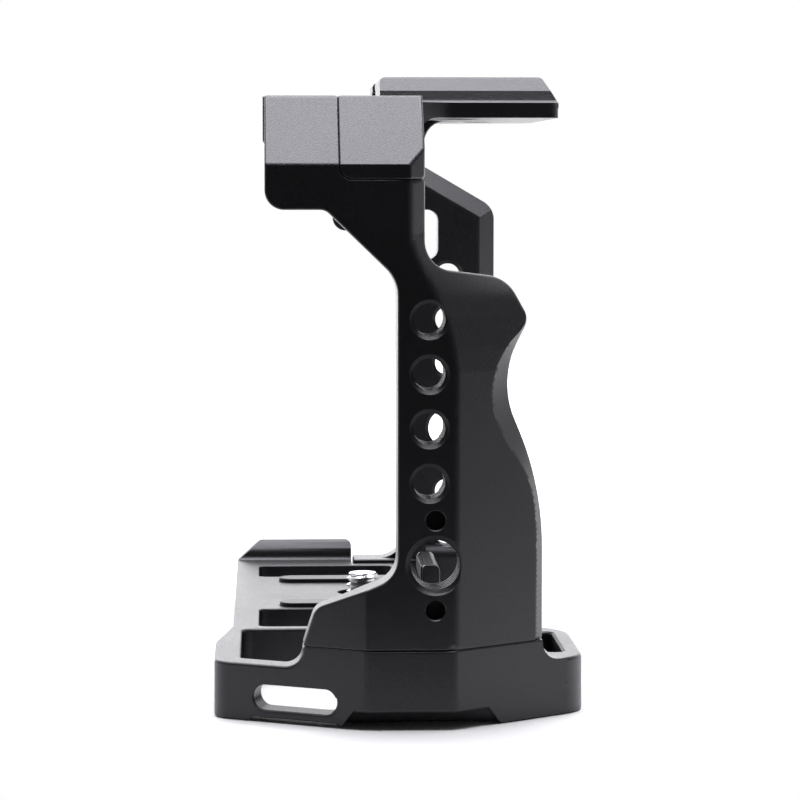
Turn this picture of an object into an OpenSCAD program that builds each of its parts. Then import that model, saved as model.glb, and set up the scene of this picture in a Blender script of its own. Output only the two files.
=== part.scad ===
// Camera cage for a mirrorless body.
// Frame: +X towards the hand grip side, +Y in the lens direction, +Z up.
// Heights start at the underside of the base plate.

/* [Base plate] */
// Thickness of the base plate
base_t = 9.5; // [9:0.1:11]
// Width of the battery door window
battery_w = 40.4; // [34:0.2:40.8]
// Radius of the recess for the camera screw head
recess_r = 9.6; // [9.4:0.1:10.4]

/* [Grip side plate] */
// Thickness of the grip side plate
grip_t = 8; // [7:0.2:9]
// Distance between neighbouring 1/4 inch holes
pitch_grip = 8.8; // [8:0.1:9]
// Height of the lowest 1/4 inch hole
low_hole_z = 40.2; // [39:0.1:41]

/* [Left side plate] */
// Thickness of the left side plate
left_t = 6; // [5.5:0.1:7]
// Width of the chamfer round its inner face
left_chamfer = 3.4; // [2:0.1:4]

/* [Top plate] */
// Thickness of the arms
arm_t = 7.7; // [6:0.1:8.5]
// Thickness of the thin platform
platform_t = 2.7; // [2.4:0.1:4]
// Height of the raised deck above the plate
deck_h = 4.7; // [4.4:0.1:5.4]

/* [Threads] */
// Minor radius of the 1/4 inch thread
r14 = 2.6; // [2.5:0.05:2.7]
// Minor radius of the 3/8 inch thread
r38 = 3.97; // [3.9:0.01:4.05]
// Radius of the locating pin holes
rpin = 1.6; // [1.5:0.05:1.8]

/* [Part to show] */
// Sub-part to show

/* [Hidden] */
$fn = 64;
y0 = 22.6;
seat_z = 13.07;
top_z = 102.7;
floor_z = 89.04;
sx0 = -21.7;
sy0 = 19;
slope_w = 0.5444;
slope_g = 0.7538;
wall_n = -14;
c_black = [0.05, 0.05, 0.055];
c_rubber = [0.09, 0.09, 0.09];
c_steel = [0.72, 0.72, 0.74];

// rounded corner points: every entry is [a, b, radius]
function arcpts(p, v, n, r, k) = r <= 0 ? [v] :
    let (u1 = (p - v) / norm(p - v), u2 = (n - v) / norm(n - v),
         ang = acos(u1 * u2), t = r / tan(ang / 2),
         a = v + u1 * t, b = v + u2 * t,
         m = (u1 + u2) / norm(u1 + u2), c = v + m * (r / sin(ang / 2)),
         s = atan2(a[1] - c[1], a[0] - c[0]), e0 = atan2(b[1] - c[1], b[0] - c[0]),
         e = e0 - s > 180 ? e0 - 360 : e0 - s < -180 ? e0 + 360 : e0)
    [for (i = [0:k]) c + r * [cos(s + (e - s) * i / k), sin(s + (e - s) * i / k)]];
function rp(q, k = 8) = let (n = len(q)) [for (i = [0:n - 1]) each arcpts(
    [q[(i + n - 1) % n][0], q[(i + n - 1) % n][1]], [q[i][0], q[i][1]],
    [q[(i + 1) % n][0], q[(i + 1) % n][1]], q[i][2], k)];

module shift() { translate([0, -y0, 0]) children(); }
// profile in (Y, Z) run from x0 to x1
module run_x(x0, x1) { translate([x0, 0, 0]) rotate([90, 0, 90]) linear_extrude(x1 - x0) children(); }
// profile in (X, Z) run from ya to yb
module run_y(ya, yb) { translate([0, yb, 0]) rotate([90, 0, 0]) linear_extrude(yb - ya) children(); }
module bore_x(x, y, z, r, len) { translate([x, y, z]) rotate([0, 90, 0]) cylinder(r = r, h = len); }
// chamfer cone with its wide end at x; d is +1 when the plate lies towards -X
module sink_x(x, y, z, r, w, d) {
    translate([x + d * 0.2, y, z]) rotate([0, -90 * d, 0]) cylinder(r1 = r + w + 0.2, r2 = r, h = w + 0.2);
}
module sink_up(x, y, z, r, w) { translate([x, y, z + 0.2]) rotate([180, 0, 0]) cylinder(r1 = r + w + 0.2, r2 = r, h = w + 0.2); }
module sink_down(x, y, z, r, w) { translate([x, y, z - 0.2]) cylinder(r1 = r + w + 0.2, r2 = r, h = w + 0.2); }
module stadium(l, r) {
    square([l - 2 * r, 2 * r], center = true);
    translate([l / 2 - r, 0]) circle(r = r);
    translate([r - l / 2, 0]) circle(r = r);
}
// socket head screw pointing along +Z, seat of the head at z = 0
module cap_screw(len, rh, hh, hex) {
    difference() {
        union() { translate([0, 0, -hh]) cylinder(r = rh, h = hh); translate([0, 0, -0.2]) cylinder(r = 1.5, h = len + 0.2); }
        translate([0, 0, -hh - 0.5]) cylinder(r = hex, h = hh * 0.62 + 0.5, $fn = 6);
    }
}

base_out = [[-75, -5.5, 2.5], [20.5, -5.5, 3], [39.5, -8.3, 3], [61.5, -8.3, 4], [75, 16.5, 3], [75, 31, 3],
    [58.04, 53.5, 8], [28.5, 53.5, 9], [13.2, 31, 8], [-66, 31, 2.5], [-66, 47.9, 2.5], [-75, 47.9, 2.5]];
e0x = 66.2 - battery_w;

module base_plate() { color(c_black) shift() difference() {
    union() {
        linear_extrude(base_t) polygon(rp(base_out));
        // raised seat of the grip side plate
        intersection() {
            linear_extrude(20) polygon([[59.6, -1.3], [65.35, -1.3], [75, 16.5], [75, 31], [60.3, 50.5], [53.9, 45.7],
                [grip_in(28.3), 28.3], [66.2, 28.3], [66.2, 11.1], [59.6, -1.0]]);
            run_x(50, 76) polygon(rp([[-1, 5, 0], [-1, base_t, 0], [6.3, base_t, 3], [6.3, seat_z, 0], [46.13, seat_z, 0],
                [46.13, base_t, 3], [52, base_t, 0], [52, 5, 0]]));
        }
        // lip on the left edge
        intersection() {
            run_y(-6, 18.5) polygon([[-75, 6], [-75, 13.5], [-74, 13.5], [-73.3, 13.05], [-72.1, 11.85], [-71.75, 11.1],
                [-71.65, base_t + 0.95], [-71.45, base_t + 0.5], [-71.1, base_t + 0.17], [-70.5, base_t - 0.06], [-70.5, 6]]);
            run_x(-76, -60) polygon(rp([[-5.5, 6, 0], [-5.5, base_t, 0], [-0.9, 13.5, 0], [18.15, 13.5, 1.2], [18.15, 6, 0]]));
            linear_extrude(20) polygon(rp(base_out));
        }
    }
    // ledge for the left side plate
    translate([-76, 18.15, 5]) cube([10, 31.35, 20]);
    // windows
    translate([0, 0, -1]) linear_extrude(12) {
        polygon(rp([[-62, -1, 1.8], [-45, -1, 1.8], [-45, 26, 1.8], [-62, 26, 1.8]]));
        polygon(rp([[0.6, -0.9, 1.8], [22.7, -0.9, 1.8], [22.7, 26, 1.8], [0.6, 26, 1.8]]));
    }
    translate([0, 0, -1]) linear_extrude(20)
        polygon(rp([[e0x, -3.9, 2], [58.2, -3.9, 2], [66.2, 10.8, 3], [66.2, 24, 2], [e0x, 24, 2]]));
    // grooves of the two pads
    translate([-38.8, 15.2, base_t - 0.8]) rotate([0, 0, 90]) linear_extrude(3) stadium(24.6, 2.9);
    translate([-4.6, 15.2, base_t - 0.8]) rotate([0, 0, 90]) linear_extrude(3) stadium(24.6, 2.9);
    // camera screw
    translate([sx0, sy0, -1]) cylinder(r = recess_r, h = 6.4);
    translate([sx0, sy0, 4]) cylinder(r = 3.45, h = 8);
    translate([sx0, sy0, 7.5]) cylinder(r = 4.9, h = 4);
    sink_down(sx0, sy0, 0, recess_r, 0.5);
    // tripod sockets
    for (x = [-38.8, -4.6]) { translate([x, sy0, -1]) cylinder(r = 3.6, h = 8); }
    translate([30, 36, -1]) cylinder(r = r38, h = 8.5);
    sink_down(30, 36, 0, r38, 0.9);
    for (d = [-7.3, 7.3]) { translate([30 + d, 36, -1]) cylinder(r = rpin, h = 5); }
    // strap slots
    translate([42.5, 49, -1]) linear_extrude(12) stadium(23, 1.5);
    translate([68.8, 4.98, 4.155]) rotate([0, 0, wall_n]) run_x(-14, 4) stadium(14.85, 2.1);
    // reliefs in the lower edge
    run_x(52, 77) polygon([[-2.6, -1], [-2.6, 0], [-1.8, 0.7], [12, 0.7], [12.6, 0], [12.6, -1]]);
    run_x(66.4, 77) polygon([[11.6, -1], [14.5, 2.9], [36.5, 2.9], [39.4, -1]]);
    // screws and dowels of the grip side plate
    for (y = [20.5, 30.6]) { translate([70.8, y, -1]) cylinder(r = 2.9, h = 7.4); translate([70.8, y, 2]) cylinder(r = 1.65, h = 13); }
    translate([70.3, 14.2, 8.5]) cylinder(r = 1.02, h = 8);
    translate([64.3, 38.5, 8.5]) cylinder(r = 1.02, h = 8);
    // screws and dowels of the left side plate
    for (y = [24.5, 43]) { translate([-71.6, y, -1]) cylinder(r = 2.9, h = 4.4); translate([-71.6, y, 2]) cylinder(r = 1.65, h = 6); }
    for (y = [20, 33]) { translate([-71.6, y, 1.5]) cylinder(r = 1.02, h = 8); }
    // screws of the front stop
    for (x = [-46.5, -35.5]) { translate([x, 32, 4.6]) rotate([90, 0, 0]) cylinder(r = 1.05, h = 7.5); }
} }

function grip_in(y) = y < 28.3 ? 75 - grip_t : 75 - grip_t - (y - 28.3) * slope_g;
grip_side = [[6.3, seat_z, 0], [8.35, 19.47, 3], [21.55, 24.97, 4.5], [21.55, 73.0, 6], [9.95, 84.2, 2.2], [0.25, 84.2, 3.1],
    [0.25, top_z, 0], [12.2, top_z, 0], [12.2, floor_z, 2.1], [26.05, floor_z, 0], [26.05, 74.9, 5], [39.9, 72.9, 5.8],
    [43.55, 66.3, 3], [38.38, 56.2, 14.5], [46.13, 38.5, 50], [46.13, seat_z, 0]];
module facet() { translate([75, -10, 91.46]) rotate([0, -45, 0]) translate([0, 0, -30]) cube([20, 70, 60]); }
// slanted face of the shoulder, and the bevel along the front of the neck
module shoulder_cut() {
    intersection() {
        translate([75, 29.4, 66.7]) rotate([0, -15.68, 35.79]) translate([0, -45, -45]) cube([30, 90, 90]);
        translate([40, 0, 55]) cube([60, 60, 24.5]);
    }
    translate([75, 23.55, 79.5]) rotate([0, 0, 47.73]) translate([0, -20, 0]) cube([20, 40, 14.8]);
}

module grip_side_plate() { color(c_black) shift() difference() {
    union() {
        intersection() {
            run_x(50, 76) polygon(rp(grip_side, 12));
            union() {
                linear_extrude(50) polygon([[68.74, 5], [75, 16.5], [75, 31], [60.3, 50.5], [75 - grip_t - 16.74, 50.5],
                    [75 - grip_t, 28.3], [75 - grip_t, 12.3], [75 - grip_t - 4, 5]]);
                translate([0, 0, 50]) linear_extrude(60) polygon([[75, -1], [75, 31], [60.3, 50.5],
                    [75 - grip_t - 16.74, 50.5], [75 - grip_t, 28.3], [75 - grip_t, -1]]);
            }
        }
        intersection() {
            run_x(57, 75) polygon(rp(grip_side, 12));
            translate([40, -5, 84.2]) cube([40, 60, 30]);
        }
    }
    facet();
    shoulder_cut();
    // 1/4 inch holes
    for (i = [0:3]) {
        bore_x(60, 26.7, low_hole_z + i * pitch_grip, r14, 20);
        sink_x(75, 26.7, low_hole_z + i * pitch_grip, r14, 0.7, 1);
        sink_x(75 - grip_t, 26.7, low_hole_z + i * pitch_grip, r14, 0.5, -1);
    }
    // 3/8 inch hole with two locating holes
    bore_x(55, 27.7, 26.9, r38, 25);
    bore_x(50, 27.7, 26.9, 5.2, 25 - grip_t);
    sink_x(75, 27.7, 26.9, r38, 0.98, 1);
    for (z = [19.6, 34.2]) { bore_x(71, 27.7, z, rpin, 6); sink_x(75, 27.7, z, rpin, 0.2, 1); }
    // screw holes and dowels in the foot
    for (y = [20.5, 30.6]) { translate([70.8, y, 10]) cylinder(r = 1.55, h = 7.9); }
    translate([70.3, 14.2, 10]) cylinder(r = 1.02, h = 7.1);
    translate([64.3, 38.5, 10]) cylinder(r = 1.02, h = 7.1);
    // screws into the top plate
    for (y = [15.9, 22.3]) { translate([61.8, y, 80]) cylinder(r = 2.9, h = 7.4); translate([61.8, y, 80]) cylinder(r = 1.65, h = 15); }
    // bed of the pad
    translate([66.6, 20.5, 16.4]) run_x(0, 0.8) translate([0, 0]) stadium(12, 1.8);
} }

top_out = [[57, 26, 0], [57, -0.03, 0], [46, -0.03, 5], [38, 6, 5], [1.5, 6, 3], [1.5, 21.1, 2.5], [-45, 21.1, 2.5], [-45, 6, 3],
    [-62, 6, 6], [-69, 14.3, 0], [-69, 28.5, 0], [-58, 31, 6], [-50, 53.3, 5], [13, 53.3, 2], [13, 33, 4], [21, 26, 5]];
deck_z = top_z + deck_h;
module top_plate() { color(c_black) shift() difference() {
    union() {
        difference() {
            translate([0, 0, top_z - arm_t]) linear_extrude(arm_t) polygon(rp(top_out));
            // thin platform with a rounded step to the arms
            for (q = [[-80, -22, 35], [-22, 90, 31.5]])
                run_x(q[0], q[1]) polygon(concat([[60, 90], [60, top_z - platform_t], [q[2], top_z - platform_t]],
                    [for (i = [1:8]) [q[2] - 4.2 * sin(90 * i / 8), top_z - platform_t - 4.2 + 4.2 * cos(90 * i / 8)]], [[q[2] - 4.2, 90]]));
        }
        // end of the arm that lies in the notch of the grip side plate
        difference() {
            run_x(57, 75) polygon(rp([[12.2, top_z, 0], [12.2, floor_z, 2.1], [26.05, floor_z, 0.8], [26.05, top_z, 0]]));
            facet();
            shoulder_cut();
        }
        // raised deck
        intersection() {
            run_y(20, 54) polygon([[-43, top_z - 1], [-43, deck_z - 2.35], [-40.65, deck_z], [7.65, deck_z], [10.15, deck_z - 2.5],
                [10.85, top_z + 0.6], [11.05, top_z + 0.27], [11.4, top_z + 0.07], [11.65, top_z - 0.1], [11.65, top_z - 1]]);
            run_x(-45, 12) polygon([[21.1, top_z - 1], [21.1, deck_z - 0.6], [21.7, deck_z], [50.5, deck_z], [53.3, top_z], [53.3, top_z - 1]]);
        }
    }
    // shoe: wide undercut below two lips
    translate([-31.05, 15, 103.2]) cube([18.7, 26.5, 2.15]);
    translate([-28.1, 15, 103.2]) cube([12.8, 26.5, 8]);
    // 1/4 inch holes
    for (y = [30, 42]) { translate([-37.2, y, 90]) cylinder(r = r14, h = 20); sink_up(-37.2, y, deck_z, r14, 0.6); }
    for (x = [26, 38, 50]) { translate([x, 15.5, 90]) cylinder(r = r14, h = 20); sink_up(x, 15.5, top_z, r14, 0.6); sink_down(x, 15.5, top_z - arm_t, r14, 0.4); }
    translate([-57, 18.5, 90]) cylinder(r = r14, h = 20);
    sink_up(-57, 18.5, top_z, r14, 0.6);
    // 3/8 inch hole with two locating holes
    translate([-1.5, 36, 90]) cylinder(r = r38, h = 20);
    sink_up(-1.5, 36, deck_z, r38, 0.9);
    for (d = [-7.3, 7.3]) { translate([-1.5, 36 + d, deck_z - 4]) cylinder(r = rpin, h = 6); }
    // screw holes towards both side plates
    for (y = [15.9, 22.3]) { translate([61.8, y, 80]) cylinder(r = 1.55, h = 16.6); }
    for (y = [18.5, 24.6]) { bore_x(-70, y, 98.85, 1.55, 9.5); }
} }

left_side = [[18.45, 5, 0], [18.45, 10.2, 0.6], [29, 10.2, 5], [29, 66, 6], [20, 78.2, 2], [14.3, 78.2, 2.7], [14.3, top_z, 1.6],
    [28.5, top_z, 1.6], [28.5, 94.24, 2], [47.9, 82.9, 4.5], [47.9, 5, 0]];
xi = -75 + left_t;
module left_side_plate() { color(c_black) shift() difference() {
    union() {
        difference() {
            run_x(-75, xi) polygon(rp(left_side, 10));
            // chamfer along the front edge and the sloping edge
            translate([xi, 47.9 - left_chamfer, 5]) rotate([0, 0, 45]) translate([0, -30, 0]) cube([20, 60, 100]);
            translate([0, 34, 91]) rotate([-30.5, 0, 0]) translate([xi, -6.4, -left_chamfer]) rotate([0, -45, 0]) translate([0, 0, -30]) cube([20, 60, 60]);
        }
        // foot with a fillet on its inner side
        translate([-75, 18.45, 5]) cube([9, 29.45, 5.2]);
        run_y(33.5, 47.9) polygon(concat([[-75, 6], [-66, 6], [-66, 10.2]],
            [for (i = [1:8]) [-66 - 3 * (1 - cos(90 * i / 8)) + 0, 10.2 + 3 * sin(90 * i / 8)]], [[-75, 13.2]]));
        // rib above the foot
        run_x(-75, -66.6) polygon(rp([[29.2, 8, 0], [29.2, 15, 2], [33.5, 21, 1], [33.5, 8, 0]]));
    }
    // slot for a strap
    run_x(-77, -60) translate([33.8, 77.35]) rotate(90) stadium(10.3, 2.3);
    for (z = [15.2, 24, 50.8, 59.8, 68.8]) { bore_x(-77, 38.2, z, r14, 20); sink_x(-75, 38.2, z, r14, 0.7, -1); sink_x(xi, 38.2, z, r14, 0.7, 1); }
    bore_x(-77, 38.2, 37.1, r38, 20);
    sink_x(-75, 38.2, 37.1, r38, 0.98, -1);
    sink_x(xi, 38.2, 37.1, r38, 0.7, 1);
    for (z = [29.8, 44.4]) { bore_x(-77, 38.2, z, rpin, 6); sink_x(-75, 38.2, z, rpin, 0.2, -1); }
    // screws from below and dowels
    translate([-71.6, 24.5, 3]) cylinder(r = 1.55, h = 6.4);
    translate([-71.6, 43, 3]) cylinder(r = 1.55, h = 8.4);
    for (y = [20, 33]) { translate([-71.6, y, 2]) cylinder(r = 1.02, h = 7.1); }
    // screws into the top plate
    for (y = [18.5, 24.6]) { bore_x(-76, y, 98.85, 2.9, 4.2); bore_x(-76, y, 98.85, 1.65, 12); }
    // bed of the pad
    translate([xi - 0.6, 21.2, 82.8]) run_x(0, 2) stadium(11, 1.8);
} }

module camera_screw() { color(c_steel) shift() translate([sx0, sy0, 0]) difference() {
    union() {
        translate([0, 0, 2.45]) cylinder(r = 8.9, h = 1.55);
        cylinder(r = 2.9, h = 9);
        translate([0, 0, 8.6]) cylinder(r = 3.17, h = 4.1);
        translate([0, 0, 12.7]) cylinder(r1 = 3.17, r2 = 2.5, h = 0.65);
        translate([-3, -1.7, 0.4]) cube([6, 3.4, 2.6]);
    }
    translate([-10, -10, -1]) cube([20, 20, 1.4]);
    for (a = [0:30:330]) rotate([0, 0, a]) translate([9.4, 0, 1]) cylinder(r = 1.0, h = 4);
    // bore for the bent ends of the ring
    translate([-4, 0, 1.3]) rotate([0, 90, 0]) cylinder(r = 0.86, h = 8);
} }

module screw_d_ring() { color(c_steel) shift() translate([sx0, sy0, 1.3]) {
    difference() {
        translate([0, 0, -0.7]) linear_extrude(1.4) difference() {
            union() { circle(r = 7.3); }
            circle(r = 5.5);
            translate([-10, -20]) square([20, 19.2]);
        }
    }
    translate([2.2, 0, 0]) rotate([0, 90, 0]) cylinder(r = 0.8, h = 4);
    translate([-6.2, 0, 0]) rotate([0, 90, 0]) cylinder(r = 0.8, h = 4);
} }

module screw_washer() { color(c_rubber) shift() translate([sx0, sy0, 4.02]) difference() {
    cylinder(r = 6.2, h = 0.5);
    translate([0, 0, -1]) cylinder(r = 2.96, h = 3);
} }

module screw_retaining_ring() { color(c_steel) shift() translate([sx0, sy0, 7.55]) difference() {
    cylinder(r = 4.5, h = 0.8);
    translate([0, 0, -1]) cylinder(r = 2.96, h = 3);
    translate([-1.2, 0, -1]) cube([2.4, 8, 3]);
} }

module base_pad_left_side() { color(c_rubber) shift() translate([-38.8, 15.2, base_t - 0.8]) rotate([0, 0, 90]) linear_extrude(1.5) stadium(24.5, 2.85); }
module base_pad_grip_side() { color(c_rubber) shift() translate([-4.6, 15.2, base_t - 0.8]) rotate([0, 0, 90]) linear_extrude(1.5) stadium(24.5, 2.85); }
module grip_side_pad() { color(c_rubber) shift() translate([66.2, 20.5, 16.4]) run_x(0, 1.2) stadium(11.9, 1.75); }
module left_side_pad() { color(c_rubber) shift() translate([xi - 0.6, 21.2, 82.8]) run_x(0, 1.2) stadium(10.9, 1.75); }

module front_stop() { color(c_black) shift() difference() {
    run_x(-52, -30) polygon(rp([[31, 1.2, 0], [31, 13.6, 0.8], [34.4, 13.6, 1.3], [34.4, 1.2, 1]]));
    for (x = [-46.5, -35.5]) {
        translate([x, 36, 4.6]) rotate([90, 0, 0]) cylinder(r = 1.3, h = 8);
        translate([x, 34.6, 4.6]) rotate([90, 0, 0]) cylinder(r1 = 2.6, r2 = 1.3, h = 1.3);
    }
    translate([-50.5, 30.5, 10.2]) cube([19, 1.1, 5]);
} }
module front_stop_pad() { color(c_rubber) shift() translate([-50.3, 30.7, 10.25]) cube([18.6, 0.9, 2.9]); }
module front_stop_screws() { color(c_steel) shift() for (x = [-46.5, -35.5]) translate([x, 34.4, 4.6]) rotate([90, 0, 0]) difference() {
    union() { cylinder(r1 = 2.25, r2 = 1.0, h = 1.25); cylinder(r = 1.0, h = 8.4); }
    translate([0, 0, -1]) cylinder(r = 0.85, h = 1.8, $fn = 6);
} }

module tripod_inserts() { color(c_steel) shift() for (x = [-38.8, -4.6]) translate([x, sy0, 0.2]) difference() {
    cylinder(r = 3.58, h = 6.7);
    translate([0, 0, -1]) cylinder(r = r14, h = 9);
    sink_down(0, 0, 0, r14, 0.5);
} }

module grip_plate_base_screws() { color(c_steel) shift() for (y = [20.5, 30.6]) translate([70.8, y, 6.4]) cap_screw(11.2, 2.75, 3, 1.45); }
module grip_plate_top_screws() { color(c_steel) shift() for (y = [15.9, 22.3]) translate([61.8, y, 87.4]) cap_screw(9, 2.75, 2.8, 1.45); }
module left_plate_base_screws() { color(c_steel) shift() {
    translate([-71.6, 24.5, 3.4]) cap_screw(5.8, 2.75, 3, 1.45);
    translate([-71.6, 43, 3.4]) cap_screw(7.8, 2.75, 3, 1.45);
} }
module left_plate_top_screws() { color(c_steel) shift() for (y = [18.5, 24.6]) translate([-71.8, y, 98.85]) rotate([0, 90, 0]) cap_screw(10.6, 2.75, 2.9, 1.45); }
module grip_plate_dowels() { color(c_steel) shift() { translate([70.3, 14.2, 9]) cylinder(r = 1, h = 8); translate([64.3, 38.5, 9]) cylinder(r = 1, h = 8); } }
module left_plate_dowels() { color(c_steel) shift() for (y = [20, 33]) translate([-71.6, y, 1.7]) cylinder(r = 1, h = 7.2); }

base_plate();
grip_side_plate();
top_plate();
left_side_plate();
camera_screw();
screw_d_ring();
screw_washer();
screw_retaining_ring();
base_pad_left_side();
base_pad_grip_side();
grip_side_pad();
left_side_pad();
front_stop();
front_stop_pad();
front_stop_screws();
tripod_inserts();
grip_plate_base_screws();
grip_plate_top_screws();
left_plate_base_screws();
left_plate_top_screws();
grip_plate_dowels();
left_plate_dowels();
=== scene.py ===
import bpy, bmesh, math
import numpy as np
from mathutils import Vector, Matrix
from mathutils.geometry import delaunay_2d_cdt


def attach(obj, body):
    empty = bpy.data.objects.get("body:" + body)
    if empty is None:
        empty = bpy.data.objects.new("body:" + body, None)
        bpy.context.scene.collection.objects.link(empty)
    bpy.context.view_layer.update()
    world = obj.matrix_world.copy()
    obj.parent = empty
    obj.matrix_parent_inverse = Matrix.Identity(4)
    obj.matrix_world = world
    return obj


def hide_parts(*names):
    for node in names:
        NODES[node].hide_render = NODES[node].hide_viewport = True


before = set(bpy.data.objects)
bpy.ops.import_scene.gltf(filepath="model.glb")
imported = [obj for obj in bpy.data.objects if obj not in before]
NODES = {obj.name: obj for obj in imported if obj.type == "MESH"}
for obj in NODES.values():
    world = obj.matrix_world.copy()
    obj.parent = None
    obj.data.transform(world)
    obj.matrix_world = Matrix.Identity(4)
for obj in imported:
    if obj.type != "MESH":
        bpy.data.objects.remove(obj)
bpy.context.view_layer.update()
MM = 0.001
Y0 = 22.6          # the drawings' Y minus the frame's Y, in mm


# ---------------------------------------------------------------- mesh helpers
def link(name, mesh):
    ob = bpy.data.objects.new(name, mesh)
    bpy.context.scene.collection.objects.link(ob)
    return ob


def bm_of(node, planar=0.3):
    """The CAD node as one welded mesh with whole faces."""
    bm = bmesh.new()
    bm.from_mesh(NODES[node].data)
    bmesh.ops.remove_doubles(bm, verts=bm.verts, dist=1e-6)
    if planar:
        bmesh.ops.dissolve_limit(bm, angle_limit=math.radians(planar), verts=bm.verts, edges=bm.edges)
    for f in bm.faces:
        f.material_index = 0
    return bm


def soften(bm, width, segments=2, angle=28, skip=None, profile=0.5):
    """Machined edge break: every sharp outer edge gets a rounded chamfer of that width in mm, narrower where the faces beside it are.
    width is a number or a function of the edge's middle; the bevel itself is made by bevel_object."""
    layer = bm.edges.layers.float.new("bevel_weight_edge")
    wide = width if callable(width) else (lambda x, y, z, e: width)
    want = {}
    for e in bm.edges:
        if len(e.link_faces) != 2 or e.calc_length() < 1e-6:
            continue
        if e.calc_face_angle_signed(0) > math.radians(angle):
            m = (e.verts[0].co + e.verts[1].co) / 2
            at = (m.x / MM, m.y / MM + Y0, m.z / MM)
            if skip and skip(*at, e):
                continue
            want[e] = wide(*at, e)
    room = dict(want)
    for f in bm.faces:
        mine = [e for e in f.edges if e in want]
        if not mine:
            continue
        n = f.normal
        for e in mine:
            a, b = e.verts[0].co, e.verts[1].co
            t = (b - a).normalized()
            side = n.cross(t)
            mid = f.calc_center_median() - a
            if side.dot(mid) < 0:
                side = -side
            length = (b - a).length
            for o in f.edges:
                if o is e or any(v in e.verts for v in o.verts):
                    continue
                share = 0.45 if o in want else 0.85
                p, q = o.verts[0].co - a, o.verts[1].co - a
                lo, hi = sorted((p.dot(t), q.dot(t)))
                if hi < -1e-5 or lo > length + 1e-5:
                    continue
                # distance of the other edge inside the strip in front of this one
                du, dv = p.dot(t), q.dot(t)
                hu, hv = p.dot(side), q.dot(side)
                best = None
                for cut in (0.0, length):
                    if (du - cut) * (dv - cut) < 0:
                        h = hu + (hv - hu) * (cut - du) / (dv - du)
                        best = h if best is None else min(best, h)
                for c, h in ((du, hu), (dv, hv)):
                    if -1e-5 <= c <= length + 1e-5:
                        best = h if best is None else min(best, h)
                if best is not None and best > 1e-6:
                    room[e] = min(room[e], share * best / MM)
    # equal width along a smooth run of edges
    group = {e: e for e in want}

    def root(e):
        while group[e] is not e:
            e = group[e]
        return e
    for v in bm.verts:
        es = [e for e in v.link_edges if e in want]
        if len(es) == 2:
            d1 = (es[0].other_vert(v).co - v.co).normalized()
            d2 = (es[1].other_vert(v).co - v.co).normalized()
            if d1.dot(d2) < -math.cos(math.radians(40)):
                group[root(es[0])] = root(es[1])
    low = {}
    for e in want:
        k = root(e)
        low[k] = min(low.get(k, 1e9), room[e])
    done = 0
    for e in want:
        w = low[root(e)]
        if w >= 0.3 * want[e]:
            e[layer] = min(w, want[e])
            done += 1
    BEVELS[id(bm)] = (segments, profile)
    return done


BEVELS = {}


def bevel_object(ob, segments, profile=0.5):
    """The bevel as a modifier, which takes its own width for every edge."""
    m = ob.modifiers.new("edge_break", "BEVEL")
    m.limit_method, m.offset_type, m.width = "WEIGHT", "OFFSET", MM
    m.segments, m.profile, m.use_clamp_overlap, m.miter_outer = segments, profile, False, "MITER_SHARP"
    m.loop_slide = True
    bpy.context.view_layer.update()
    dg = bpy.context.evaluated_depsgraph_get()
    me = bpy.data.meshes.new_from_object(ob.evaluated_get(dg), depsgraph=dg)
    ob.modifiers.clear()
    old, ob.data = ob.data, me
    me.name = ob.name
    bpy.data.meshes.remove(old)
    return ob


def as_object(bm, name):
    how = BEVELS.pop(id(bm), None)
    me = bpy.data.meshes.new(name)
    bm.to_mesh(me)
    bm.free()
    ob = link(name, me)
    return bevel_object(ob, *how) if how else ob


def boolean(target, tool, kind):
    m = target.modifiers.new("cut", "BOOLEAN")
    m.operation, m.object, m.solver = kind, tool, "MANIFOLD"
    bpy.context.view_layer.update()
    dg = bpy.context.evaluated_depsgraph_get()
    me = bpy.data.meshes.new_from_object(target.evaluated_get(dg), depsgraph=dg)
    target.modifiers.clear()
    old = target.data
    target.data = me
    me.name = target.name
    bpy.data.meshes.remove(old)
    tm = tool.data
    bpy.data.objects.remove(tool)
    bpy.data.meshes.remove(tm)


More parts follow.
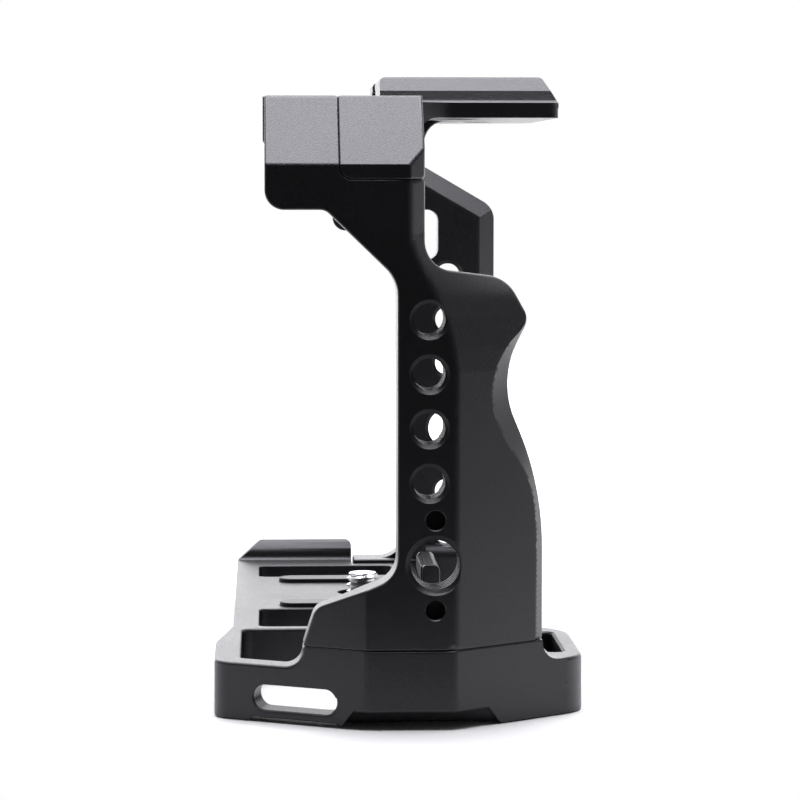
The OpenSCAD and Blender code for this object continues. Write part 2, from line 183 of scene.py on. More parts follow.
def shade(ob, angle=33):
    """Smooth shading in which broad flat faces stay flat: each corner takes the normals round it, weighted by the whole flat area they belong to."""
    me = ob.data
    me.shade_smooth()
    nf = len(me.polygons)
    normal = np.empty(nf * 3)
    me.polygons.foreach_get("normal", normal)
    normal = normal.reshape(-1, 3)
    area = np.empty(nf)
    me.polygons.foreach_get("area", area)
    edge_of = np.empty(len(me.loops), int)
    vert_of = np.empty(len(me.loops), int)
    me.loops.foreach_get("edge_index", edge_of)
    me.loops.foreach_get("vertex_index", vert_of)
    start = np.empty(nf, int)
    total = np.empty(nf, int)
    me.polygons.foreach_get("loop_start", start)
    me.polygons.foreach_get("loop_total", total)
    face_of = np.repeat(np.arange(nf), total)
    order = np.argsort(edge_of, kind="stable")
    se = edge_of[order]
    pair = {}
    i = 0
    while i < len(se):
        j = i
        while j < len(se) and se[j] == se[i]:
            j += 1
        if j - i == 2:
            pair[int(se[i])] = (int(face_of[order[i]]), int(face_of[order[i + 1]]))
        i = j
    group = list(range(nf))

    def root(k):
        while group[k] != k:
            group[k] = group[group[k]]
            k = group[k]
        return k
    turn = {}
    for e, (f, g) in pair.items():
        c = float(np.clip(normal[f] @ normal[g], -1, 1))
        turn[e] = c
        if c > math.cos(math.radians(0.4)):
            group[root(f)] = root(g)
    whole = {}
    for k in range(nf):
        r_ = root(k)
        whole[r_] = whole.get(r_, 0) + area[k]
    weight = np.array([whole[root(k)] for k in range(nf)]) ** 1.4
    # sharp edges: steep ones, and flatter ones between two broad faces
    length = np.array([(me.vertices[e.vertices[0]].co - me.vertices[e.vertices[1]].co).length for e in me.edges])
    sharp = np.zeros(len(me.edges), bool)
    lim, lim2 = math.cos(math.radians(angle)), math.cos(math.radians(13))
    for e in range(len(me.edges)):
        if e not in turn:
            sharp[e] = True
            continue
        f, g = pair[e]
        if turn[e] < lim:
            sharp[e] = True
        elif turn[e] < lim2 and min(whole[root(f)], whole[root(g)]) > 0.75 * MM * max(length[e], 4 * MM) and length[e] > 0.7 * MM:
            sharp[e] = True
    attr = me.attributes.get("sharp_edge") or me.attributes.new("sharp_edge", "BOOLEAN", "EDGE")
    attr.data.foreach_set("value", sharp)
    # one fan of smooth neighbours for every corner
    around = {}
    for l in range(len(vert_of)):
        around.setdefault(int(vert_of[l]), []).append(l)
    soft = {}
    for e, (f, g) in pair.items():
        if not sharp[e]:
            a, b = me.edges[e].vertices
            soft.setdefault(a, []).append((f, g))
            soft.setdefault(b, []).append((f, g))
    out = np.zeros((len(vert_of), 3))
    for v, corners in around.items():
        boss = {int(face_of[l]): int(face_of[l]) for l in corners}

        def top_of(k):
            while boss[k] != k:
                k = boss[k]
            return k
        for f, g in soft.get(v, ()):
            if f in boss and g in boss:
                boss[top_of(f)] = top_of(g)
        fans = {}
        for f in boss:
            fans.setdefault(top_of(f), []).append(f)
        value = {}
        for k, fs in fans.items():
            seen, n = set(), np.zeros(3)
            for f in fs:
                r_ = root(f)
                if r_ not in seen:
                    seen.add(r_)
                    n += normal[f] * weight[f]
            n /= max(np.linalg.norm(n), 1e-30)
            for f in fs:
                value[f] = n
        for l in corners:
            out[l] = value[int(face_of[l])]
    me.normals_split_custom_set([tuple(n) for n in out])


def grid_mesh(name, verts, faces):
    me = bpy.data.meshes.new(name)
    me.from_pydata(verts, [], faces)
    me.validate()
    me.update()
    return link(name, me)


def helix_body(r_in, r_out, pitch, length, seg=48, phases=(0.0, 0.125, 0.45, 0.675), outer_first=True):
    """Closed screw-thread solid along +Z from z = 0, in mm: rows follow the helix, so crests and roots stay crisp."""
    radii = (r_out, r_out, r_in, r_in)
    n = max(int(math.ceil(length / pitch)), 1) * 4
    verts, index = [], {}
    for i in range(seg):
        th = 2 * math.pi * i / seg
        for j in range(n + 1 + (4 if i == 0 else 0)):
            z = (j // 4 + phases[j % 4]) * pitch + pitch * i / seg
            r = radii[j % 4]
            index[i, j] = len(verts)
            verts.append((r * math.cos(th), r * math.sin(th), z))
    faces = []
    for i in range(seg):
        for j in range(n):
            if i < seg - 1:
                q = (index[i, j], index[i + 1, j], index[i + 1, j + 1], index[i, j + 1])
            else:
                q = (index[i, j], index[0, j + 4], index[0, j + 5], index[i, j + 1])
            faces.append(q)
    lo = len(verts)
    verts.append((0, 0, -0.6 * pitch))
    hi = len(verts)
    verts.append((0, 0, (n / 4 + 1.6) * pitch))
    ring = [index[i, 0] for i in range(seg)] + [index[0, j] for j in (4, 3, 2, 1)]
    for a, b in zip(ring, ring[1:] + ring[:1]):
        faces.append((lo, b, a))
    ring = [index[i, n] for i in range(seg)] + [index[0, n + j] for j in (4, 3, 2, 1)]
    for a, b in zip(ring, ring[1:] + ring[:1]):
        faces.append((hi, a, b))
    return verts, faces


AXES = {"+x": Vector((1, 0, 0)), "-x": Vector((-1, 0, 0)), "+z": Vector((0, 0, 1)), "-z": Vector((0, 0, -1)),
        "-y": Vector((0, -1, 0))}


def taps(holes, name="taps"):
    """One tool for all threads of a plate. Each hole is (x, y, z, axis, length, size): the thread starts at that point and runs along axis."""
    verts, faces = [], []
    for x, y, z, axis, length, size in holes:
        r_in, r_out, pitch = {"1/4": (2.57, 3.12, 1.27), "3/8": (3.93, 4.68, 1.5875)}[size]
        v, f = helix_body(r_in, r_out, pitch, length, seg=40 if size == "1/4" else 52)
        d = AXES[axis]
        turn = d.to_track_quat("Z", "X" if abs(d.z) < 0.5 else "Y").to_matrix()
        k = len(verts)
        o = Vector((x, y - Y0, z))
        verts += [tuple((o + turn @ Vector(p)) * MM) for p in v]
        faces += [tuple(k + i for i in q) for q in f]
    return grid_mesh(name, verts, faces)


def arc_points(q, k=12):
    """Polygon with rounded corners: q holes (a, b, radius)."""
    out, n = [], len(q)
    for i in range(n):
        p, v, w = (np.array(q[(i + d) % n][:2], float) for d in (-1, 0, 1))
        r = q[i][2]
        if r <= 0:
            out.append(v)
            continue
        u1, u2 = (p - v) / np.linalg.norm(p - v), (w - v) / np.linalg.norm(w - v)
        ang = math.acos(float(np.clip(u1 @ u2, -1, 1)))
        t = r / math.tan(ang / 2)
        a, b = v + u1 * t, v + u2 * t
        m = (u1 + u2) / np.linalg.norm(u1 + u2)
        c = v + m * (r / math.sin(ang / 2))
        s, e = math.atan2(a[1] - c[1], a[0] - c[0]), math.atan2(b[1] - c[1], b[0] - c[0])
        if e - s > math.pi:
            e -= 2 * math.pi
        if e - s < -math.pi:
            e += 2 * math.pi
        for j in range(k + 1):
            x = s + (e - s) * j / k
            out.append(c + r * np.array([math.cos(x), math.sin(x)]))
    return np.array(out)


def area2(p):
    x, y = p[:, 0], p[:, 1]
    return float(np.sum(x * np.roll(y, -1) - np.roll(x, -1) * y))


def inset(p, widths):
    """Offset a counter-clockwise polygon inwards; widths holds one value per edge (from point i to i+1), in mm."""
    n, out = len(p), []
    d = np.roll(p, -1, 0) - p
    d /= np.linalg.norm(d, axis=1)[:, None]
    nrm = np.c_[-d[:, 1], d[:, 0]]
    for i in range(n):
        n1, n2, c1, c2 = nrm[i - 1], nrm[i], widths[i - 1], widths[i]
        det = n1[0] * n2[1] - n1[1] * n2[0]
        if abs(det) < 0.3:
            m = n1 + n2
            m /= np.linalg.norm(m)
            out.append(p[i] + m * (c1 + c2) / 2)
        else:
            out.append(p[i] + np.linalg.solve(np.array([n1, n2]), np.array([c1, c2])))
    return np.array(out)


def seg_distance(pts, line, closed=False):
    """Distance of each point to a polyline, and the nearest piece's number."""
    a = line
    b = np.roll(line, -1, 0) if closed else line[1:]
    a = a if closed else line[:-1]
    best = np.full(len(pts), 1e9)
    who = np.zeros(len(pts), int)
    for k in range(len(a)):
        ab = b[k] - a[k]
        t = np.clip(((pts - a[k]) @ ab) / max(ab @ ab, 1e-12), 0, 1)
        dd = np.linalg.norm(pts - a[k] - t[:, None] * ab, axis=1)
        m = dd < best
        best[m], who[m] = dd[m], k
    return best, who


def inside(pts, poly):
    x, y = pts[:, 0], pts[:, 1]
    res = np.zeros(len(pts), bool)
    n = len(poly)
    for i in range(n):
        x1, y1 = poly[i]
        x2, y2 = poly[(i + 1) % n]
        c = (y1 > y) != (y2 > y)
        with np.errstate(divide="ignore", invalid="ignore"):
            xi = (x2 - x1) * (y - y1) / (y2 - y1) + x1
        res ^= c & (x < xi)
    return res


def smooth01(t):
    t = np.clip(t, 0, 1)
    return t * t * (3 - 2 * t)


def fold(u, w):
    """0 before a fold line, u after it, with a soft run of width 2w."""
    return np.where(u <= -w, 0, np.where(u >= w, u, (u + w) ** 2 / (4 * w)))


# ---------------------------------------------------------------- grip side plate
SEAT, TOP, FLOOR = 13.07, 102.7, 89.04
GRIP_SIDE = [(6.3, SEAT, 0), (8.35, 19.47, 3), (21.55, 24.97, 4.5), (21.55, 73.0, 6), (9.95, 84.2, 2.2), (0.25, 84.2, 3.1),
             (0.25, TOP, 0), (12.2, TOP, 0), (12.2, FLOOR, 2.1), (26.05, FLOOR, 0), (26.05, 74.9, 5), (39.9, 72.9, 5.8),
             (43.55, 66.3, 3), (38.38, 56.2, 14.5), (46.13, 38.5, 50), (46.13, SEAT, 0)]
BAND = np.array([(43.05, 66.9), (42.15, 64.74), (39.53, 62.06), (37.8, 59.2), (36.94, 56.31), (36.77, 53.23), (37.63, 49.76),
                 (39.19, 46.4), (40.58, 44.18), (42.32, 41.5), (43.4, 38.8), (44.08, 36.0), (44.43, 32.4), (44.61, 27.77),
                 (44.5, 20.0), (44.43, 12.0)]) + np.array([0.22, 0.0])
FOLD_Z = [10, 54, 58, 62, 66.7, 70.5, 73.3, 76.9, 80.0, 110]
FOLD_Y = [31, 31, 31, 30.55, 29.4, 27.7, 26.2, 24.5, 23.55, 23.55]


def spline(points, step):
    """Catmull-Rom curve through the points, resampled."""
    p = np.vstack([2 * points[0] - points[1], points, 2 * points[-1] - points[-2]])
    out = []
    for i in range(1, len(p) - 2):
        k = max(int(np.linalg.norm(p[i + 1] - p[i]) / step), 1)
        for j in range(k):
            t = j / k
            out.append(0.5 * ((2 * p[i]) + (-p[i - 1] + p[i + 1]) * t + (2 * p[i - 1] - 5 * p[i] + 4 * p[i + 1] - p[i + 2]) * t * t
                              + (-p[i - 1] + 3 * p[i] - 3 * p[i + 1] + p[i + 2]) * t ** 3))
    out.append(p[-2])
    return np.array(out)


def grip_face(y, z):
    """X of the outer face before its edges are broken."""
    yf = np.interp(z, FOLD_Z, FOLD_Y)
    s = 0.7538 + 0.43 * smooth01((z - 69) / 11)
    x = 75 - s * fold(y - yf, 0.75)
    low = np.clip((50 - z) / 5, 0, 1)
    x = x - low * 0.5444 * fold(16.5 - y, 0.2)
    return x - fold(x - (166.46 - z), 0.3)


def grip_cutter():
    sil = arc_points(GRIP_SIDE, 12)
    # long straight runs are split, so that edge widths can change along them
    fine = []
    for i in range(len(sil)):
        a, b = sil[i], sil[(i + 1) % len(sil)]
        k = max(int(np.linalg.norm(b - a) / 2.0), 1)
        fine += [a + (b - a) * j / k for j in range(k)]
    sil = np.array(fine)
    if area2(sil) < 0:
        sil = sil[::-1]
    mid = (sil + np.roll(sil, -1, 0)) / 2
    wid = np.full(len(sil), 0.45)
    for i, (y, z) in enumerate(mid):
        if z < 13.3 or (abs(y - 12.2) < 0.4 and z > 88) or (y < 14.6 and 88.9 < z < 91.4 and y > 12) or abs(z - FLOOR) < 0.05:
            wid[i] = 0.26
        elif y > 26.0 and z > 68:
            wid[i] = 0.3
        elif y > 36 and z <= 68:
            wid[i] = 0.14
    outer = inset(sil, np.full(len(sil), -0.6))
    rims = [inset(sil, wid * k) for k in (0.134, 0.5, 1.0)]
    band = spline(BAND, 0.6)
    # points
    rng = np.random.default_rng(4)
    step = 0.5
    ys, zs = np.arange(-1, 48, step), np.arange(12, 104, step * 0.866)
    g = np.array([(y + (step / 2 if k % 2 else 0), z) for k, z in enumerate(zs) for y in ys])
    g = g[inside(g, outer)]
    lines = [(outer, True), (band, False)] + [(r, True) for r in rims]
    rear = [np.array([(16.5 - d, 12.6), (16.5 - d, 24.5)]) for d in (-0.2, 0.2)]
    lines += [(np.array([(-0.2, 91.46 + d), (12.6, 91.46 + d)]), False) for d in (-0.3, -0.1, 0.1, 0.3)]
    lines += [(r, False) for r in rear]
    for ln, closed in lines:
        d, _ = seg_distance(g, ln, closed)
        g = g[d > 0.14]
    pts, edges = [], []
    for ln, closed in lines:
        k = len(pts)
        pts += [tuple(p) for p in ln]
        n = len(ln)
        edges += [(k + i, k + (i + 1) % n) for i in range(n if closed else n - 1)]
    n_b = len(outer)
    pts += [tuple(p) for p in g]
    vs, _, fs, _, _, _ = delaunay_2d_cdt([Vector(p) for p in pts], edges, [list(range(n_b))], 1, 1e-5)
    v = np.array([(p.x, p.y) for p in vs])
    y, z = v[:, 0], v[:, 1]
    dist, who = seg_distance(v, sil, True)
    signed = np.where(inside(v, sil), dist, -dist)
    x = grip_face(y, z) - 0.03
    # rounded edge break; outside the outline it runs on steeply
    w = wid[who]
    curve = w - np.sqrt(np.maximum(w * w - np.maximum(w - signed, 0) ** 2, 0))
    x = x - np.where(signed >= w, 0, np.where(signed > 0.134 * w, curve, 0.5 * w + 3.73 * (0.134 * w - signed)))
    # milled bevel along the front of the grip
    order = np.argsort(band[:, 1])
    yb = np.interp(z, band[order, 1], band[order, 0])
    db, _ = seg_distance(v, band, False)
    inb = (y > yb) & (z < 66.9)
    t = np.where(inb, db / np.maximum(db + np.maximum(signed, 0), 1e-6), 0)
    t = np.where(inb & (signed < 0), 1, t)
    depth = 1.9 * smooth01((66.9 - z) / 5.0)
    x = x - depth * t
    n = len(v)
    verts = [(x[i] * MM, (y[i] - Y0) * MM, z[i] * MM) for i in range(n)] + [(30 * MM, (y[i] - Y0) * MM, z[i] * MM) for i in range(n)]
    faces, count = [], {}
    for f in fs:
        f = list(f)
        a = v[f]
        if area2(a) < 0:
            f = f[::-1]
        faces.append(tuple(f))
        faces.append(tuple(n + i for i in f[::-1]))
        for i in range(len(f)):
            e = (f[i], f[(i + 1) % len(f)])
            count[e] = 1
    for (a, b) in list(count):
        if (b, a) not in count:
            faces.append((b, a, n + a, n + b))
    return grid_mesh("grip_cutter", verts, faces)


def near(x, y, z, holes, ax, extra=1.4):
    """Is this point at the mouth of one of these holes? Their edges are broken already."""
    for h in holes:
        if ax == "x" and math.hypot(y - h[0], z - h[1]) < h[2] + extra:
            return True
        if ax == "z" and math.hypot(x - h[0], y - h[1]) < h[2] + extra:
            return True
    return False


def build_grip_plate():
    bm = bm_of("grip_side_plate")
    holes_x = [(26.7, 40.2 + 8.8 * i, 2.6) for i in range(4)] + [(27.7, 26.9, 4.0), (27.7, 19.6, 1.6), (27.7, 34.2, 1.6)]
    holes_z = [(70.8, 20.5, 1.6), (70.8, 30.6, 1.6), (61.8, 15.9, 3.0), (61.8, 22.3, 3.0), (70.3, 14.2, 1.1), (64.3, 38.5, 1.1)]

    def skip(x, y, z, e):
        if near(x, y, z, holes_x, "x", 0.95) and not (x < 72 and math.hypot(y - 27.7, z - 26.9) > 4.6 and x > 76):
            return True
        if near(x, y, z, holes_z, "z", 0.3):
            return True
        line = min(75.0, 75 - (y - 31) * 0.7538, (75 - (16.5 - y) * 0.5444) if z < 50 else 99, 166.46 - z)
        return x > line - 0.6   # the outer face has its own edge breaks
    soften(bm, 0.42, 3, 28, skip)
    ob = as_object(bm, "grip_plate_visual")
    boolean(ob, grip_cutter(), "INTERSECT")
    t = [(64, 26.7, 40.2 + 8.8 * i, "+x", 12, "1/4") for i in range(4)] + [(65.6, 27.7, 26.9, "+x", 10.5, "3/8")]
    boolean(ob, taps(t), "DIFFERENCE")
    return ob


def build_plate(node, width, skip=None, threads=(), angle=28, segments=3):
    bm = bm_of(node)
    soften(bm, width, segments, angle, skip)
    ob = as_object(bm, node + "_visual")
    if threads:
        boolean(ob, taps(threads), "DIFFERENCE")
    return ob


BASE_HOLES = [(-21.7, 19, 9.6), (-21.7, 19, 5.0), (-38.8, 19, 3.6), (-4.6, 19, 3.6), (30, 36, 4.0), (22.7, 36, 1.6), (37.3, 36, 1.6),
              (70.8, 20.5, 2.9), (70.8, 30.6, 2.9), (70.3, 14.2, 1.0), (64.3, 38.5, 1.0), (-71.6, 24.5, 2.9), (-71.6, 43, 2.9),
              (-71.6, 20, 1.0), (-71.6, 33, 1.0)]


def skip_base(x, y, z, e):
    return near(x, y, z, BASE_HOLES, "z", 0.25) or (abs(y - 31) < 0.6 and z < 8 and -50 < x < -32 and e.calc_length() < 0.4 * MM)


TOP_HOLES = [(-37.2, 30, 2.6), (-37.2, 42, 2.6), (26, 15.5, 2.6), (38, 15.5, 2.6), (50, 15.5, 2.6), (-57, 18.5, 2.6),
             (-1.5, 36, 3.97), (-1.5, 28.7, 1.6), (-1.5, 43.3, 1.6), (61.8, 15.9, 1.6), (61.8, 22.3, 1.6)]


def skip_top(x, y, z, e):
    if x < -68.4 and near(x, y, z, [(18.5, 98.85, 1.6), (24.6, 98.85, 1.6)], "x", 0.4):
        return True
    return near(x, y, z, TOP_HOLES, "z", 0.8)


LEFT_HOLES = [(38.2, z, 2.6) for z in (15.2, 24, 50.8, 59.8, 68.8)] + [(38.2, 37.1, 3.97), (38.2, 29.8, 1.6), (38.2, 44.4, 1.6),
              (18.5, 98.85, 2.9), (24.6, 98.85, 2.9)]


def skip_left(x, y, z, e):
    if y > 43.5 and z > 77.5 and x > -73.5 and e.calc_length() < 6 * MM:
        return True
    return near(x, y, z, LEFT_HOLES, "x", 0.8) or (z < 5.3 and near(x, y, z, [(-71.6, 24.5, 1.6), (-71.6, 43, 1.6), (-71.6, 20, 1), (-71.6, 33, 1)], "z", 0.3))


def wide_base(x, y, z, e):
    """Outer edges of the base are broken wider than the edges of its windows."""
    if z < 1.2:
        return 0.4
    return 0.5 if (-63 < x < 67 and -4.5 < y < 26.5) else 0.6


def wide_top(x, y, z, e):
    if x > 57 and y > 25.4:
        return 0.62
    if y > 32 and z < TOP + 0.2:
        return 0.36
    return 0.45


grip = build_grip_plate()
base = build_plate("base_plate", wide_base, skip_base, [(30, 36, -1.5, "+z", 6.3, "3/8")])
top = build_plate("top_plate", wide_top, skip_top,
                  [(-37.2, 30, 98.6, "+z", 9.8, "1/4"), (-37.2, 42, 98.6, "+z", 9.8, "1/4"), (-57, 18.5, 93.8, "+z", 10, "1/4"), (-1.5, 36, 98.4, "+z", 10, "3/8")]
                  + [(x, 15.5, 93.8, "+z", 10, "1/4") for x in (26, 38, 50)])
left = build_plate("left_side_plate", 0.45, skip_left,
                   [(-76.6, 38.2, z, "+x", 9, "1/4") for z in (15.2, 24, 50.8, 59.8, 68.8)] + [(-76.8, 38.2, 37.1, "+x", 9.5, "3/8")])
stop = build_plate("front_stop", 0.3, lambda x, y, z, e: z < 7.6 and y > 30 and abs(abs(x + 41) - 5.5) < 2.9)

for ob, node in ((grip, "grip_side_plate"), (base, "base_plate"), (top, "top_plate"), (left, "left_side_plate"), (stop, "front_stop")):
    shade(ob)
    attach(ob, "cage")
    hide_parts(node)


# ---------------------------------------------------------------- camera screw
def build_screw():
    bm = bm_of("camera_screw")
    ob = as_object(bm, "camera_screw_visual")
    # tool: everything below the thread, and the thread's own body above it
    v, f = helix_body(2.5, 3.2, 1.27, 8, seg=56, phases=(0.0, 0.1, 0.42, 0.62))
    verts = [tuple((Vector(p) + Vector((-21.7, 19 - Y0, 7.4))) * MM) for p in v]
    tool = grid_mesh("thread", verts, f)
    bm2 = bmesh.new()
    bmesh.ops.create_cube(bm2, size=1)
    bmesh.ops.transform(bm2, matrix=Matrix.Translation(Vector((-21.7, 19 - Y0, -1.0)) * MM) @ Matrix.Diagonal((30 * MM, 30 * MM, 19.6 * MM, 1)), verts=bm2.verts)
    low = as_object(bm2, "low")
    boolean(low, tool, "UNION")
    boolean(ob, low, "INTERSECT")
    return ob


screw = build_screw()
shade(screw, 32)
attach(screw, "screw")
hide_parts("camera_screw")


def small_part(node, width, body, segments=2, angle=28):
    bm = bm_of(node)
    soften(bm, width, segments, angle)
    ob = as_object(bm, node + "_visual")
    shade(ob, 40)
    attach(ob, body)
    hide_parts(node)
    return ob


ring = small_part("screw_d_ring", 0.42, "pull_ring", 3)
clip = small_part("screw_retaining_ring", 0.1, "retainer", 1)
washer = small_part("screw_washer", 0.1, "screw", 1)
inserts = build_plate("tripod_inserts", 0.12, lambda x, y, z, e: True,
                      [(x, 19, -1.4, "+z", 7.6, "1/4") for x in (-38.8, -4.6)], segments=1)
shade(inserts)
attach(inserts, "cage")
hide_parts("tripod_inserts")
pads = [small_part(n, 0.2, "cage", 2) for n in ("base_pad_left_side", "base_pad_grip_side", "grip_side_pad", "left_side_pad", "front_stop_pad")]
screws = [small_part(n, 0.14, "cage", 1) for n in ("front_stop_screws", "grip_plate_base_screws", "grip_plate_top_screws",
                                                                "left_plate_base_screws", "left_plate_top_screws")]
dowels = [small_part(n, 0.15, "cage", 1) for n in ("grip_plate_dowels", "left_plate_dowels")]


# ---------------------------------------------------------------- materials
def new_material(name):
    m = bpy.data.materials.new(name)
    m.use_nodes = True
    nt = m.node_tree
    bsdf = next(n for n in nt.nodes if n.type == "BSDF_PRINCIPLED")
    return m, nt, bsdf


def add(nt, kind, **values):
    n = nt.nodes.new(kind)
    for k, v in values.items():
        if k in n.inputs:
            n.inputs[k].default_value = v
        else:
            setattr(n, k, v)
    return n


def ramp(nt, fac, stops):
    r = nt.nodes.new("ShaderNodeValToRGB")
    while len(r.color_ramp.elements) > 1:
        r.color_ramp.elements.remove(r.color_ramp.elements[-1])
    r.color_ramp.elements[0].position = stops[0][0]
    r.color_ramp.elements[0].color = stops[0][1]
    for p, c in stops[1:]:
        e = r.color_ramp.elements.new(p)
        e.color = c
    nt.links.new(fac, r.inputs["Fac"])
    return r.outputs["Color"]


def g4(v, b=None):
    return (v, v, v if b is None else b, 1)


def anodised():
    """Black anodised, bead-blasted aluminium: fine bright grain, slow patches in the gloss and a few specks of dust."""
    m, nt, bsdf = new_material("black_anodised")
    L = nt.links.new
    co = add(nt, "ShaderNodeTexCoord").outputs["Object"]
    grain = add(nt, "ShaderNodeTexNoise", Scale=3300.0, Detail=3.0, Roughness=0.65)
    cells = add(nt, "ShaderNodeTexVoronoi", Scale=6500.0)
    patch = add(nt, "ShaderNodeTexNoise", Scale=90.0, Detail=4.0, Roughness=0.55)
    dust = add(nt, "ShaderNodeTexVoronoi", Scale=130.0)
    for n in (grain, cells, patch, dust):
        L(co, n.inputs["Vector"])
    # dust: the middle of a few cells
    near_ = add(nt, "ShaderNodeMath", operation="LESS_THAN")
    L(dust.outputs["Distance"], near_.inputs[0])
    near_.inputs[1].default_value = 0.016
    sep = add(nt, "ShaderNodeSeparateColor")
    L(dust.outputs["Color"], sep.inputs["Color"])
    pick = add(nt, "ShaderNodeMath", operation="GREATER_THAN")
    L(sep.outputs["Red"], pick.inputs[0])
    pick.inputs[1].default_value = 0.72
    speck = add(nt, "ShaderNodeMath", operation="MULTIPLY")
    L(near_.outputs[0], speck.inputs[0])
    L(pick.outputs[0], speck.inputs[1])
    tone = ramp(nt, patch.outputs["Fac"], [(0.3, (0.0042, 0.0043, 0.0052, 1)), (0.7, (0.0068, 0.0069, 0.0082, 1))])
    mix = add(nt, "ShaderNodeMix", data_type="RGBA")
    L(speck.outputs[0], mix.inputs["Factor"])
    L(tone, mix.inputs[6])
    mix.inputs[7].default_value = (0.16, 0.16, 0.165, 1)
    L(mix.outputs[2], bsdf.inputs["Base Color"])
    # gloss
    sepc = add(nt, "ShaderNodeSeparateColor")
    L(cells.outputs["Color"], sepc.inputs["Color"])
    a = add(nt, "ShaderNodeMath", operation="MULTIPLY_ADD")
    L(sepc.outputs["Green"], a.inputs[0])
    a.inputs[1].default_value = 0.12
    a.inputs[2].default_value = 0.27
    b = add(nt, "ShaderNodeMath", operation="MULTIPLY_ADD")
    L(patch.outputs["Fac"], b.inputs[0])
    b.inputs[1].default_value = 0.08
    L(a.outputs[0], b.inputs[2])
    L(b.outputs[0], bsdf.inputs["Roughness"])
    # relief
    both = add(nt, "ShaderNodeMath", operation="MULTIPLY_ADD")
    L(cells.outputs["Distance"], both.inputs[0])
    both.inputs[1].default_value = 0.3
    L(grain.outputs["Fac"], both.inputs[2])
    bump = add(nt, "ShaderNodeBump", Strength=0.75, Distance=0.00005)
    L(both.outputs[0], bump.inputs["Height"])
    L(bump.outputs["Normal"], bsdf.inputs["Normal"])
    bsdf.inputs["Metallic"].default_value = 0.0
    bsdf.inputs["IOR"].default_value = 1.52
    bsdf.inputs["Specular Tint"].default_value = (0.95, 0.94, 1.0, 1)
    return m


def bright_steel():
    """Polished stainless: fine turning lines and faint rub marks."""
    m, nt, bsdf = new_material("bright_steel")
    L = nt.links.new
    co = add(nt, "ShaderNodeTexCoord").outputs["Object"]
    n1 = add(nt, "ShaderNodeTexNoise", Scale=2600.0, Detail=3.0)
    n2 = add(nt, "ShaderNodeTexNoise", Scale=240.0, Detail=5.0)
    L(co, n1.inputs["Vector"])
    L(co, n2.inputs["Vector"])
    L(ramp(nt, n2.outputs["Fac"], [(0.3, (0.56, 0.56, 0.58, 1)), (0.7, (0.74, 0.74, 0.75, 1))]), bsdf.inputs["Base Color"])
    r = ramp(nt, n1.outputs["Fac"], [(0.3, g4(0.14)), (0.7, g4(0.26))])
    L(r, bsdf.inputs["Roughness"])
    bump = add(nt, "ShaderNodeBump", Strength=0.15, Distance=0.00001)
    L(n1.outputs["Fac"], bump.inputs["Height"])
    L(bump.outputs["Normal"], bsdf.inputs["Normal"])
    bsdf.inputs["Metallic"].default_value = 1.0
    return m


def black_oxide():
    m, nt, bsdf = new_material("black_oxide_steel")
    L = nt.links.new
    co = add(nt, "ShaderNodeTexCoord").outputs["Object"]
    n1 = add(nt, "ShaderNodeTexNoise", Scale=1500.0, Detail=5.0, Roughness=0.65)
    n2 = add(nt, "ShaderNodeTexNoise", Scale=300.0, Detail=3.0)
    L(co, n1.inputs["Vector"])
    L(co, n2.inputs["Vector"])
    L(ramp(nt, n2.outputs["Fac"], [(0.3, (0.010, 0.010, 0.011, 1)), (0.75, (0.028, 0.027, 0.026, 1))]), bsdf.inputs["Base Color"])
    L(ramp(nt, n1.outputs["Fac"], [(0.3, g4(0.24)), (0.7, g4(0.42))]), bsdf.inputs["Roughness"])
    bump = add(nt, "ShaderNodeBump", Strength=0.25, Distance=0.00002)
    L(n1.outputs["Fac"], bump.inputs["Height"])
    L(bump.outputs["Normal"], bsdf.inputs["Normal"])
    bsdf.inputs["Metallic"].default_value = 0.35
    return m


def rubber(name="pad_rubber", tone=(0.007, 0.007, 0.0075), scale=3800.0):
    m, nt, bsdf = new_material(name)
    L = nt.links.new
    co = add(nt, "ShaderNodeTexCoord").outputs["Object"]
    n1 = add(nt, "ShaderNodeTexNoise", Scale=scale, Detail=4.0, Roughness=0.7)
    n2 = add(nt, "ShaderNodeTexNoise", Scale=180.0, Detail=3.0)
    L(co, n1.inputs["Vector"])
    L(co, n2.inputs["Vector"])
    lo = (*[c * 0.75 for c in tone], 1)
    hi = (*[c * 1.9 for c in tone], 1)
    L(ramp(nt, n2.outputs["Fac"], [(0.3, lo), (0.75, hi)]), bsdf.inputs["Base Color"])
    L(ramp(nt, n1.outputs["Fac"], [(0.25, g4(0.34)), (0.75, g4(0.52))]), bsdf.inputs["Roughness"])
    bump = add(nt, "ShaderNodeBump", Strength=0.5, Distance=0.00004)
    L(n1.outputs["Fac"], bump.inputs["Height"])
    L(bump.outputs["Normal"], bsdf.inputs["Normal"])
    return m


BLACK, STEEL, OXIDE, RUBBER, NYLON = anodised(), bright_steel(), black_oxide(), rubber(), rubber("washer_nylon", (0.02, 0.02, 0.021), 900.0)


def put(ob, mat):
    ob.data.materials.clear()
    ob.data.materials.append(mat)
    for p in ob.data.polygons:
        p.material_index = 0


for ob in (grip, base, top, left, stop):
    put(ob, BLACK)
for ob in [screw, ring, clip, inserts] + dowels:
    put(ob, STEEL)
for ob in screws:
    put(ob, OXIDE)
for ob in pads:
    put(ob, RUBBER)
put(washer, NYLON)


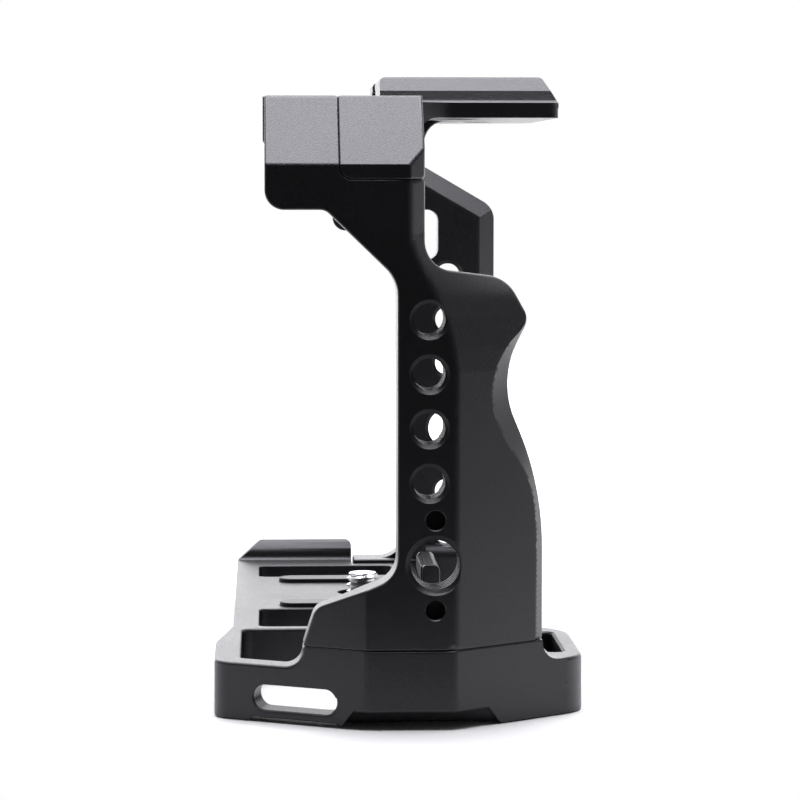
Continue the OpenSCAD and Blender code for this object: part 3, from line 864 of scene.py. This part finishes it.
# ---------------------------------------------------------------- floor, light, camera
def floor():
    """White sweep: it ends in front of the object, where the photograph's table does, and glows softly further back, where a backdrop takes over."""
    bm = bmesh.new()
    outline = ((0.116, -0.85), (0.116, 0.85), (-1.0, 0.85), (-1.0, -0.85))
    bm.faces.new([bm.verts.new((x, y, -0.00005)) for x, y in outline])
    bmesh.ops.triangulate(bm, faces=bm.faces)
    bmesh.ops.recalc_face_normals(bm, faces=bm.faces)
    if sum(f.normal.z for f in bm.faces) < 0:
        bmesh.ops.reverse_faces(bm, faces=bm.faces)
    ob = as_object(bm, "floor")
    m, nt, bsdf = new_material("floor_white")
    L = nt.links.new
    co = add(nt, "ShaderNodeTexCoord").outputs["Object"]
    n = add(nt, "ShaderNodeTexNoise", Scale=8.0, Detail=2.0)
    L(co, n.inputs["Vector"])
    L(ramp(nt, n.outputs["Fac"], [(0.3, g4(0.70)), (0.7, g4(0.72))]), bsdf.inputs["Base Color"])
    bsdf.inputs["Roughness"].default_value = 0.7
    far = add(nt, "ShaderNodeVectorMath", operation="LENGTH")
    L(co, far.inputs[0])
    glow = add(nt, "ShaderNodeMapRange", interpolation_type="SMOOTHSTEP")
    glow.inputs["From Min"].default_value = 0.14
    glow.inputs["From Max"].default_value = 0.6
    glow.inputs["To Min"].default_value = 0.0
    glow.inputs["To Max"].default_value = 0.95
    L(far.outputs["Value"], glow.inputs["Value"])
    bsdf.inputs["Emission Color"].default_value = (1, 1, 1, 1)
    L(glow.outputs["Result"], bsdf.inputs["Emission Strength"])
    put(ob, m)
    return ob


floor()


def area(name, size, loc, target, power, colour=(1, 1, 1), size_y=None):
    d = bpy.data.lights.new(name, "AREA")
    d.energy = power
    d.color = colour
    d.shape = "RECTANGLE"
    d.size = size
    d.size_y = size_y or size
    ob = bpy.data.objects.new(name, d)
    bpy.context.scene.collection.objects.link(ob)
    ob.location = loc
    v = Vector(target) - Vector(loc)
    ob.rotation_mode = "QUATERNION"
    ob.rotation_quaternion = v.to_track_quat("-Z", "Y")
    ob.visible_camera = False
    return ob


area("softbox_top", 0.9, (-0.08, 0.0, 0.9), (-0.04, 0, 0.05), 20.5, (0.97, 0.96, 1.0))

world = bpy.data.worlds.new("studio")
bpy.context.scene.world = world
world.use_nodes = True
nt = world.node_tree
nt.nodes.clear()
L = nt.links.new
out = nt.nodes.new("ShaderNodeOutputWorld")
tc = nt.nodes.new("ShaderNodeTexCoord")
sep = nt.nodes.new("ShaderNodeSeparateXYZ")
L(tc.outputs["Generated"], sep.inputs[0])
# x: -1 is the white backdrop, +1 is the dark side of the room behind the camera
half = add(nt, "ShaderNodeMath", operation="MULTIPLY_ADD")
L(sep.outputs["X"], half.inputs[0])
half.inputs[1].default_value = 0.5
half.inputs[2].default_value = 0.5
room = ramp(nt, half.outputs[0], [((x + 1) / 2, g4(v / 4)) for x, v in ((-1.0, 3.2), (-0.9, 2.6), (-0.8, 1.3), (-0.57, 0.85), (-0.33, 0.58), (-0.1, 0.42),
                                                                    (0.1, 0.29), (0.27, 0.2), (0.5, 0.12), (0.75, 0.075))])
power = add(nt, "ShaderNodeMath", operation="MULTIPLY")
L(room, power.inputs[0])
power.inputs[1].default_value = 4.0
bg_light = nt.nodes.new("ShaderNodeBackground")
L(power.outputs[0], bg_light.inputs["Strength"])
bg_light.inputs["Color"].default_value = (0.98, 0.98, 1.0, 1)
bg_cam = nt.nodes.new("ShaderNodeBackground")
bg_cam.inputs["Color"].default_value = (1, 1, 1, 1)
bg_cam.inputs["Strength"].default_value = 1.0
lp = nt.nodes.new("ShaderNodeLightPath")
mixw = nt.nodes.new("ShaderNodeMixShader")
L(lp.outputs["Is Camera Ray"], mixw.inputs[0])
L(bg_light.outputs[0], mixw.inputs[1])
L(bg_cam.outputs[0], mixw.inputs[2])
L(mixw.outputs[0], out.inputs["Surface"])

cam_data = bpy.data.cameras.new("camera")
cam = bpy.data.objects.new("camera", cam_data)
bpy.context.scene.collection.objects.link(cam)
yaw, pitch, roll = (math.radians(a) for a in (2.5123, 4.2155, 0.0279))
d = Vector((-math.cos(pitch) * math.cos(yaw), math.cos(pitch) * math.sin(yaw), -math.sin(pitch)))
r = d.cross(Vector((0, 0, 1))).normalized()
u = r.cross(d)
r, u = math.cos(roll) * r + math.sin(roll) * u, -math.sin(roll) * r + math.cos(roll) * u
rot = Matrix((r, u, -d)).transposed()
cam.matrix_world = Matrix.Translation(Vector((568.548, -22.335, 90.143)) * MM) @ rot.to_4x4()
cam_data.sensor_width = 36
cam_data.lens = 3084.107 / 800 * 36
cam_data.clip_start, cam_data.clip_end = 0.01, 20
bpy.context.scene.camera = cam
bpy.context.scene.view_settings.view_transform = "Standard"
bpy.context.scene.view_settings.look = "None"
